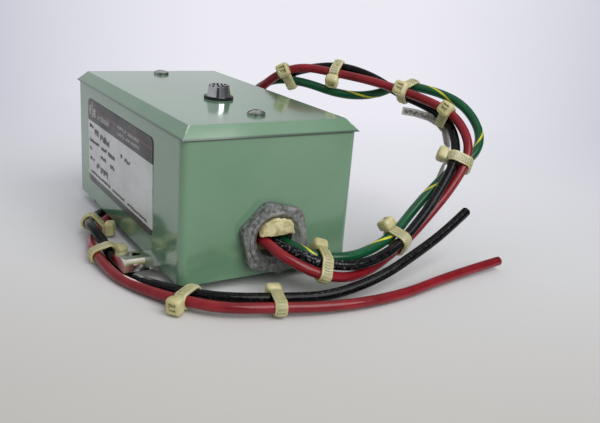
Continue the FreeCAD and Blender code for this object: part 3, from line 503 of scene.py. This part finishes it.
for i in range(1, 26):
    (a, across_a, face_a), (b, _, _) = rows[i], rows[i + 1]
    for low, high in ((0.05, 0.3), (0.36, 0.6), (0.68, 0.92)):
        for level in (-1, 1):
            top, bottom = dice.choice(((-0.75, 0.75), (-0.75, 0.1), (-0.1, 0.75)))
            lift = face_a * print_proud * level
            corners = [a.lerp(b, t) + across_a * print_half_height * v + lift
                       for t, v in ((low, top), (high, top), (high, bottom), (low, bottom))]
            made = letters.faces.new([letters.verts.new(c) for c in corners])
            made.material_index = 1
            made.normal_update()
            if made.normal.dot(face_a * level) < 0:
                made.normal_flip()
letters.to_mesh(strip_mesh)
letters.free()
marker = shown("marker_strip", strip_mesh, "box")

# Box, lid and lid brackets: sheet steel, pressed and folded, dipped in one coat of grey-green
# baked enamel. It is glossy, so the lid mirrors what stands on it. It is rubbed pale along the
# lid's mitres, and a painted shade line runs along the seam under the rim.
lid_low, lid_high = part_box("lid")
enamel, tree, shader, place = start_finish(
    "baked_enamel_grey_green", {"Roughness": 0.16, "IOR": 1.5, "Coat Weight": 0.6,
                                "Coat Roughness": 0.08, "Coat IOR": 1.5})
patches = add(tree, "ShaderNodeTexNoise", {"Vector": place, "Scale": 26.0, "Detail": 4.0})
paint = blended(tree, spread(tree, patches.outputs[0], 0.3, 0.7), "#668B6E", "#719479")
specks = add(tree, "ShaderNodeTexNoise", {"Vector": place, "Scale": 520.0, "Detail": 2.0})
paint = blended(tree, spread(tree, specks.outputs[0], 0.66, 0.76, 0.0, 0.25), paint, "#5C7C66")
at = add(tree, "ShaderNodeSeparateXYZ", {0: place}).outputs
far_x = add(tree, "ShaderNodeMath", {0: at[0]}, operation="ABSOLUTE").outputs[0]
far_y = add(tree, "ShaderNodeMath", {0: at[1]}, operation="ABSOLUTE").outputs[0]
mitre = add(tree, "ShaderNodeMath", {0: far_y, 1: far_x}, operation="SUBTRACT").outputs[0]
mitre = add(tree, "ShaderNodeMath", {0: mitre, 1: -lid_high[1] + lid_high[0]},
            operation="ADD").outputs[0]
mitre = add(tree, "ShaderNodeMath", {0: mitre}, operation="ABSOLUTE").outputs[0]
mitre = spread(tree, mitre, 0.0, 0.0007, 1.0, 0.0)
outer = spread(tree, far_x, lid_high[0] - 0.0055, lid_high[0] - 0.0045)
worn = add(tree, "ShaderNodeMath", {0: mitre, 1: outer}, operation="MULTIPLY").outputs[0]
above = spread(tree, at[2], lid_low[2] + 0.002, lid_low[2] + 0.0025)
worn = add(tree, "ShaderNodeMath", {0: worn, 1: above}, operation="MULTIPLY").outputs[0]
chips = add(tree, "ShaderNodeTexNoise", {"Vector": place, "Scale": 620.0, "Detail": 3.0})
worn = add(tree, "ShaderNodeMath", {0: worn, 1: spread(tree, chips.outputs[0], 0.4, 0.55)},
           operation="MULTIPLY").outputs[0]
paint = blended(tree, worn, paint, "#C9D2C4")
# Painted shade: a dark line on the body just under the lid's rim, where the rim shades it.
seam_shade = add(tree, "ShaderNodeMath", {0: at[2], 1: lid_low[2]}, operation="SUBTRACT").outputs[0]
seam_shade = add(tree, "ShaderNodeMath", {0: seam_shade}, operation="ABSOLUTE").outputs[0]
tree.links.new(blended(tree, spread(tree, seam_shade, 0.0003, 0.0008, 0.8, 0.0), paint, "#2C3831"),
               shader.inputs["Base Color"])
waves = add(tree, "ShaderNodeTexNoise", {"Vector": place, "Scale": 60.0, "Detail": 1.0})
wavy = add(tree, "ShaderNodeBump", {"Strength": 0.12, "Distance": 0.0006,
                                    "Height": waves.outputs[0]})
peel = add(tree, "ShaderNodeTexNoise", {"Vector": place, "Scale": 420.0, "Detail": 2.0})
tree.links.new(add(tree, "ShaderNodeBump", {"Strength": 0.05, "Distance": 0.0002,
                                            "Height": peel.outputs[0],
                                            "Normal": wavy.outputs[0]}).outputs[0],
               shader.inputs["Normal"])
dress(enamel, "enclosure_body", "lid", "lid_bracket_near", "lid_bracket_far")

# Folds and castings: the sheet bends round a small radius, and a casting has no sharp edge, so
# their edges are eased a little and catch the light.
for name, width in (("lid", 0.0005), ("enclosure_body", 0.0003), ("chase_nipple", 0.0005),
                    ("gland_locknut", 0.0004)):
    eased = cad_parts[name].modifiers.new("eased edges", "BEVEL")
    eased.width = width
    eased.segments = 2
    eased.limit_method = "ANGLE"
    eased.angle_limit = math.radians(28)
    eased.use_clamp_overlap = True
    eased.harden_normals = True

# Screws, feet and rivets: plated steel. The screws are dulled zinc, and the feet, rivets,
# standoffs and terminals are bright nickel, which mirrors the floor and the leads beside it.
zinc, tree, shader, place = start_finish("zinc_plated_steel", {"Metallic": 1.0, "Roughness": 0.3})
bloom = mottled(tree, shader, place, (500.0, 4.0), "#C2C3C0", "#8E908E")
tree.links.new(spread(tree, bloom, 0.35, 0.65, 0.16, 0.34), shader.inputs["Roughness"])
nickel, tree, shader, place = start_finish(
    "bright_nickel_plate", {"Metallic": 1.0, "Roughness": 0.08})
cloudy = mottled(tree, shader, place, (220.0, 4.0), "#FCFBF6", "#F0EFE8")
tree.links.new(spread(tree, cloudy, 0.35, 0.65, 0.05, 0.14), shader.inputs["Roughness"])
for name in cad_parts:
    if name.startswith(("lid_screw", "board_screw")):
        dress(zinc, name)
    if name.startswith(("mounting_foot", "foot_rivet", "standoff", "terminal")):
        dress(nickel, name)

# Gland: a die-cast zinc chase nipple with a six-sided flange. The casting is grey, grainy and
# pitted, and bright where its edges were rubbed.
cast, tree, shader, place = start_finish(
    "die_cast_zinc_weathered", {"Metallic": 0.6, "Roughness": 0.5})
grain = add(tree, "ShaderNodeTexNoise", {"Vector": place, "Scale": 620.0, "Detail": 6.0})
blotch = add(tree, "ShaderNodeTexNoise", {"Vector": place, "Scale": 110.0, "Detail": 3.0})
metal = blended(tree, spread(tree, grain.outputs[0], 0.35, 0.68), "#686A66", "#A6A8A7")
metal = blended(tree, spread(tree, blotch.outputs[0], 0.55, 0.72), metal, "#BFC1C1")
tree.links.new(metal, shader.inputs["Base Color"])
tree.links.new(spread(tree, blotch.outputs[0], 0.4, 0.7, 0.55, 0.3), shader.inputs["Roughness"])
bumped(tree, shader, grain.outputs[0], 0.8, 0.0006)
dress(cast, "chase_nipple", "gland_locknut")

# Sealing compound: soft putty pushed into the gland over the leads and left lumpy. It swells
# forward and spreads into the dished mouth. It has gone cream, and is a little wet in places.
putty_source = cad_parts["sealing_plug"].copy()
putty_source.data = putty_source.data.copy()
putty_source.parent = None
putty_source.matrix_world = Matrix.Identity(4)
bpy.context.scene.collection.objects.link(putty_source)
fine = putty_source.modifiers.new("fine", "REMESH")
fine.mode = "VOXEL"
fine.voxel_size = 0.0003
putty_mesh = grown(putty_source, "sealing_putty_mesh")
bpy.data.objects.remove(putty_source)
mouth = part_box("sealing_plug")[0][1]
bore_x, bore_z, bore_radius, dish_depth = 0.0008, 0.02, 0.0079, 0.0022
soft_depth, hanging_edge = 0.007, 0.0045
for vertex in putty_mesh.vertices:
    spot = vertex.co.copy()
    if spot.y < mouth + soft_depth:
        big = noise.noise(spot * 260 + Vector((3, 5, 1)))
        small = noise.noise(spot * 900)
        room = min(1.0, max(0.0, (mouth + soft_depth - spot.y) / 0.004))
        from_wall = bore_radius - math.hypot(spot.x - bore_x, spot.z - bore_z)
        swell = max(0.0, min(1.0, from_wall / 0.0012))
        swell *= max(0.0, min(1.0, (spot.z - bore_z + 0.001) / 0.002))
        vertex.co.y -= room * (0.0008 * big + 0.0003 * small + 0.0026 * swell)
        vertex.co.z += room * (0.0007 * noise.noise(spot * 330) + 0.0003 * small)
        dished = max(0.0, min(1.0, (mouth + 0.0004 - vertex.co.y) / dish_depth))
        dished *= max(0.0, min(1.0, (spot.z - bore_z) / 0.001))
        vertex.co.x += 0.24 * dished * (spot.x - bore_x)
        vertex.co.z += 0.24 * dished * (spot.z - bore_z)
        if spot.z < bore_z + hanging_edge:
            vertex.co.z -= 0.0026 * dished
putty, tree, shader, place = start_finish(
    "sealing_putty_cream", {"Roughness": 0.5, "IOR": 1.48, "Subsurface Weight": 0.15,
                            "Subsurface Scale": 0.001, "Subsurface Radius": (1.0, 0.7, 0.4)})
lumps = mottled(tree, shader, place, (420.0, 4.0), "#9C9160", "#D6CDA0", 0.3, 0.62)
wet = add(tree, "ShaderNodeTexNoise", {"Vector": place, "Scale": 300.0, "Detail": 2.0})
tree.links.new(spread(tree, wet.outputs[0], 0.5, 0.62, 0.6, 0.12), shader.inputs["Roughness"])
bumped(tree, shader, lumps, 0.5, 0.0004)
putty_mesh.materials.clear()
putty_mesh.materials.append(putty)
putty_mesh.shade_smooth()
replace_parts(shown("sealing_putty", putty_mesh, "box"), "sealing_plug")

# Indicator: a chrome bezel with a notched rim on a black rubber ring, and a dark lens in it.
chrome, tree, shader, place = start_finish(
    "polished_chrome", {"Metallic": 1.0, "Roughness": 0.09})
haze = mottled(tree, shader, place, (260.0, 3.0), "#DADBDC", "#CBCCCE")
tree.links.new(spread(tree, haze, 0.4, 0.7, 0.05, 0.1), shader.inputs["Roughness"])
rubber, tree, shader, place = start_finish("black_rubber_matt", {"Roughness": 0.45, "IOR": 1.5})
mottled(tree, shader, place, (400.0, 3.0), "#0B0B0D", "#26262A", 0.4, 0.75)
glass, tree, shader, place = start_finish(
    "smoked_plastic_lens", {"Roughness": 0.12, "IOR": 1.49})
flecks = add(tree, "ShaderNodeTexVoronoi", {"Vector": place, "Scale": 900.0})
tree.links.new(blended(tree, spread(tree, flecks.outputs[0], 0.0, 0.6), "#8E8F96", "#3C3A3F"),
               shader.inputs["Base Color"])
dress(chrome, "indicator_bezel", "indicator_nut")
dress(rubber, "indicator_washer")
dress(glass, "indicator_lens")

# Nameplate: a thin printed foil on the long side, a dark band along its top with a thin red
# line through it, a pale field, and a dark strip along its foot. The rows of print are only
# strokes and bars, sized and spaced as rating-plate text would be.
plate_low, plate_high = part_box("nameplate")
foil, tree, shader, place = start_finish("printed_foil_satin", {"Roughness": 0.3, "IOR": 1.5})
height = add(tree, "ShaderNodeSeparateXYZ", {0: place}).outputs[2]
grime = add(tree, "ShaderNodeTexNoise", {"Vector": place, "Scale": 70.0, "Detail": 4.0})
field = blended(tree, spread(tree, grime.outputs[0], 0.35, 0.7), "#D9DBDB", "#C9CBC7")
for low, high, code in ((0.0296, 0.045, "#2A2524"), (0.0354, 0.0358, "#8C4A44"),
                        (-0.001, 0.0031, "#4A4C4A")):
    over = add(tree, "ShaderNodeMath", {0: height, 1: plate_low[2] + low},
               operation="GREATER_THAN").outputs[0]
    under = add(tree, "ShaderNodeMath", {0: height, 1: plate_low[2] + high},
                operation="LESS_THAN").outputs[0]
    inside = add(tree, "ShaderNodeMath", {0: over, 1: under}, operation="MULTIPLY").outputs[0]
    field = blended(tree, inside, field, code)
tree.links.new(field, shader.inputs["Base Color"])
tree.links.new(spread(tree, grime.outputs[0], 0.35, 0.7, 0.24, 0.42), shader.inputs["Roughness"])
dress(foil, "nameplate")
pale_ink, tree, shader, place = start_finish("pale_silver_ink", {"Roughness": 0.4})
mottled(tree, shader, place, (600.0, 4.0), "#C3C3C0", "#8B8886", 0.4, 0.7)
lettering = bmesh.new()


def print_stroke(corners, shade):
    """One printed stroke, by its corners in millimetres along and down from the plate's corner."""
    made = lettering.faces.new([lettering.verts.new(
        (plate_low[0] - 0.00003, plate_high[1] - along / 1000, plate_high[2] - down / 1000))
        for along, down in corners])
    made.material_index = shade
    made.normal_update()
    if made.normal.x > 0:
        made.normal_flip()


# Each row of print: where it starts, how far down, its length and height, and which ink.
for start, drop, length, tall, shade in (
        (2.2, 12.6, 6.4, 1.7, 0), (9.9, 14.2, 7.4, 2.9, 0), (18.8, 15.0, 13.6, 3.1, 0),
        (2.2, 19.4, 14.5, 1.7, 0), (20.2, 19.6, 8.4, 1.8, 0), (30.2, 19.9, 9.4, 1.9, 0),
        (2.2, 23.6, 3.8, 1.6, 0), (19.2, 24.2, 8.2, 1.7, 0), (33.0, 24.8, 6.6, 1.9, 0),
        (2.2, 28.2, 4.6, 1.6, 0), (7.8, 28.4, 2.0, 1.6, 0), (12.6, 29.8, 5.4, 2.9, 0),
        (18.9, 30.4, 10.6, 3.0, 0), (47.4, 16.4, 3.4, 1.8, 0), (52.6, 16.7, 7.6, 1.9, 0),
        (3.4, 34.7, 30.0, 1.2, 0), (36.4, 34.9, 16.4, 1.2, 0), (56.4, 35.0, 24.0, 1.2, 0),
        (14.6, 6.3, 17.6, 2.5, 1), (43.4, 4.6, 11.8, 1.5, 1), (57.0, 4.8, 13.8, 1.5, 1),
        (43.4, 7.4, 9.6, 1.5, 1), (54.6, 7.5, 16.8, 1.5, 1)):
    reach = 0.0
    while reach < length - 0.25 * tall:
        wide = tall * dice.uniform(0.2, 0.42)
        top, bottom = dice.choice(((0.5, -0.5), (0.5, -0.5), (0.5, -0.15), (0.15, -0.5)))
        print_stroke([(start + reach + along, drop - up * tall) for along, up in
                      ((0, top), (wide, top), (wide, bottom), (0, bottom))], shade)
        reach += wide + tall * dice.uniform(0.08, 0.16)
for start, drop, length, tall in ((2.0, 5.2, 2.6, 4.4), (6.0, 4.6, 1.4, 7.0), (8.6, 5.6, 3.2, 4.0)):
    print_stroke([(start + along, drop + up) for along, up in (
        (0, -tall / 2), (length, -tall / 2), (length, tall / 2), (0, tall / 2))], 1)
print_mesh = bpy.data.meshes.new("nameplate_print_mesh")
lettering.to_mesh(print_mesh)
lettering.free()
print_mesh.materials.append(ink)
print_mesh.materials.append(pale_ink)
shown("nameplate_print", print_mesh, "box")

# Circuit board and what stands on it, seen only with the lid off: a green board, three blue
# dipped varistors, two thermal cut-offs in bare cans, a boxed film capacitor and a resistor.
for names, title, dark, light, surface in (
        (("circuit_board",), "solder_mask_green", "#1E5A32", "#2C6E42", {"Roughness": 0.25}),
        (("varistor_1", "varistor_2", "varistor_3"), "dipped_epoxy_blue", "#1D3F86", "#2D55A0",
         {"Roughness": 0.35}),
        (("thermal_cutoff_1", "thermal_cutoff_2"), "tinned_can", "#8F9090", "#B4B4B2",
         {"Metallic": 1.0, "Roughness": 0.28}),
        (("film_capacitor",), "moulded_case_yellow", "#B89A22", "#CBB23A", {"Roughness": 0.4}),
        (("ballast_resistor",), "lacquer_tan", "#9C7446", "#B48D5C", {"Roughness": 0.3}),
        (("inner_lead_red",), "inner_jacket_red", "#8E1A2A", "#A8243A", {"Roughness": 0.25}),
        (("inner_lead_black",), "inner_jacket_black", "#08080A", "#15151A", {"Roughness": 0.25}),
        (("inner_lead_green",), "inner_jacket_green", "#12472C", "#1D5A3A", {"Roughness": 0.25})):
    finish, tree, shader, place = start_finish(title, surface)
    mottled(tree, shader, place, (240.0, 4.0), dark, light)
    dress(finish, *names)

# Floor: a sheet of matt pale grey paper under the box, which runs back without an edge. Its
# colour is painted darker near the camera and towards the sides of the view, as painted light
# falloff, and far off the camera sees it as a painted glow that pales towards the distance.
# It takes the box's shadow, and is plain.
floor_mesh = bpy.data.meshes.new("floor")
floor_mesh.from_pydata([(-12, -12, 0), (12, -12, 0), (12, 12, 0), (-12, 12, 0)], [],
                       [(0, 1, 2, 3)])
floor = bpy.data.objects.new("floor", floor_mesh)
bpy.context.scene.collection.objects.link(floor)
paper, tree, shader, place = start_finish("matt_paper_grey", {"Roughness": 0.9})
ahead = add(tree, "ShaderNodeVectorMath", {0: place, 1: (0.53, 0.85, 0)},
            operation="DOT_PRODUCT").outputs["Value"]
fan = add(tree, "ShaderNodeVectorMath", {0: place, 1: (-0.13, -0.29, 0)}, operation="SUBTRACT")
fan = add(tree, "ShaderNodeVectorMath", {0: fan.outputs[0]}, operation="NORMALIZE")
fan = add(tree, "ShaderNodeVectorMath", {0: fan.outputs[0], 1: (0.54, 0.84, 0)},
          operation="DOT_PRODUCT").outputs["Value"]
middle = spread(tree, fan, 0.91, 0.99)
# Painted shade: the paper is darker near the camera and towards the sides of the view.
paper_and_painted_falloff = blended(tree, spread(tree, ahead, -0.16, -0.03), "#C6C2BC", "#DBDBDC")
paper_and_painted_falloff = blended(tree, spread(tree, ahead, -0.03, 0.12), paper_and_painted_falloff, "#E8E8EC")
tree.links.new(blended(tree, spread(tree, middle, 0.0, 1.0, 0.12, 0.0), paper_and_painted_falloff, "#A9A8AA"),
               shader.inputs["Base Color"])
# Painted glow: far off, the camera sees the floor as a glowing colour, brighter in the middle of
# the view.
painted_distance_glow = blended(tree, middle, "#C7C8D3", "#ECEBF4")
glow = add(tree, "ShaderNodeEmission", {"Color": painted_distance_glow, "Strength": 1.0})
seen = add(tree, "ShaderNodeLightPath").outputs["Is Camera Ray"]
share = add(tree, "ShaderNodeMath", {0: spread(tree, ahead, 0.0, 0.32), 1: seen},
            operation="MULTIPLY").outputs[0]
both = add(tree, "ShaderNodeMixShader", {0: share, 1: shader.outputs[0], 2: glow.outputs[0]})
add(tree, "ShaderNodeOutputMaterial", {"Surface": both.outputs[0]}).is_active_output = True
floor_mesh.materials.append(paper)

# Studio: even pale light all round, one large soft lamp ahead of the gland end and to its
# right, and a backdrop seen by the camera that is painted brighter in the middle of the view.
# The light is duller from the right and from the gland end, with one dark patch on the near
# side, which gives the plating and the chrome their darks.
world = bpy.data.worlds.new("studio")
bpy.context.scene.world = world
world.use_nodes = True
world.node_tree.nodes.clear()
tree = world.node_tree
around = add(tree, "ShaderNodeTexCoord").outputs["Generated"]
heading = add(tree, "ShaderNodeSeparateXYZ", {0: around}).outputs
fan = add(tree, "ShaderNodeVectorMath", {0: around, 1: (0.54, 0.84, 0)},
          operation="DOT_PRODUCT").outputs["Value"]
# Painted light: the backdrop that the camera sees is brighter in the middle of the view and duller
# towards the sides.
backdrop = blended(tree, spread(tree, fan, 0.91, 0.99), "#C7C8D3", "#E6E5F0")
dome = blended(tree, spread(tree, heading[2], -0.1, 0.9), "#E6E8EE", "#F2F2F4")
dome = blended(tree, spread(tree, heading[1], -0.25, -0.8), dome, "#7A7C80")
dome = blended(tree, spread(tree, heading[0], 0.42, 0.72), dome, "#5A5C60")
dome = blended(tree, spread(tree, heading[0], -0.05, -0.4), dome, "#C4C6CA")
dome = blended(tree, spread(tree, fan, -0.9, -0.97), dome, "#26272B")
seen = add(tree, "ShaderNodeLightPath").outputs["Is Camera Ray"]
painted_backdrop = add(tree, "ShaderNodeBackground", {"Color": backdrop, "Strength": 1.0})
air = add(tree, "ShaderNodeBackground", {"Color": dome, "Strength": 0.8})
both = add(tree, "ShaderNodeMixShader", {0: seen, 1: air.outputs[0], 2: painted_backdrop.outputs[0]})
add(tree, "ShaderNodeOutputWorld", {"Surface": both.outputs[0]})
key = bpy.data.objects.new("key", bpy.data.lights.new("key", "AREA"))
bpy.context.scene.collection.objects.link(key)
key.data.size = 1.5
key.data.energy = 26.5
key.location = (0.25, -1.3, 1.25)
key.rotation_euler = (Vector((0, 0, 0.03)) - key.location).to_track_quat("-Z", "Y").to_euler()
bpy.context.scene.view_settings.view_transform = "Standard"
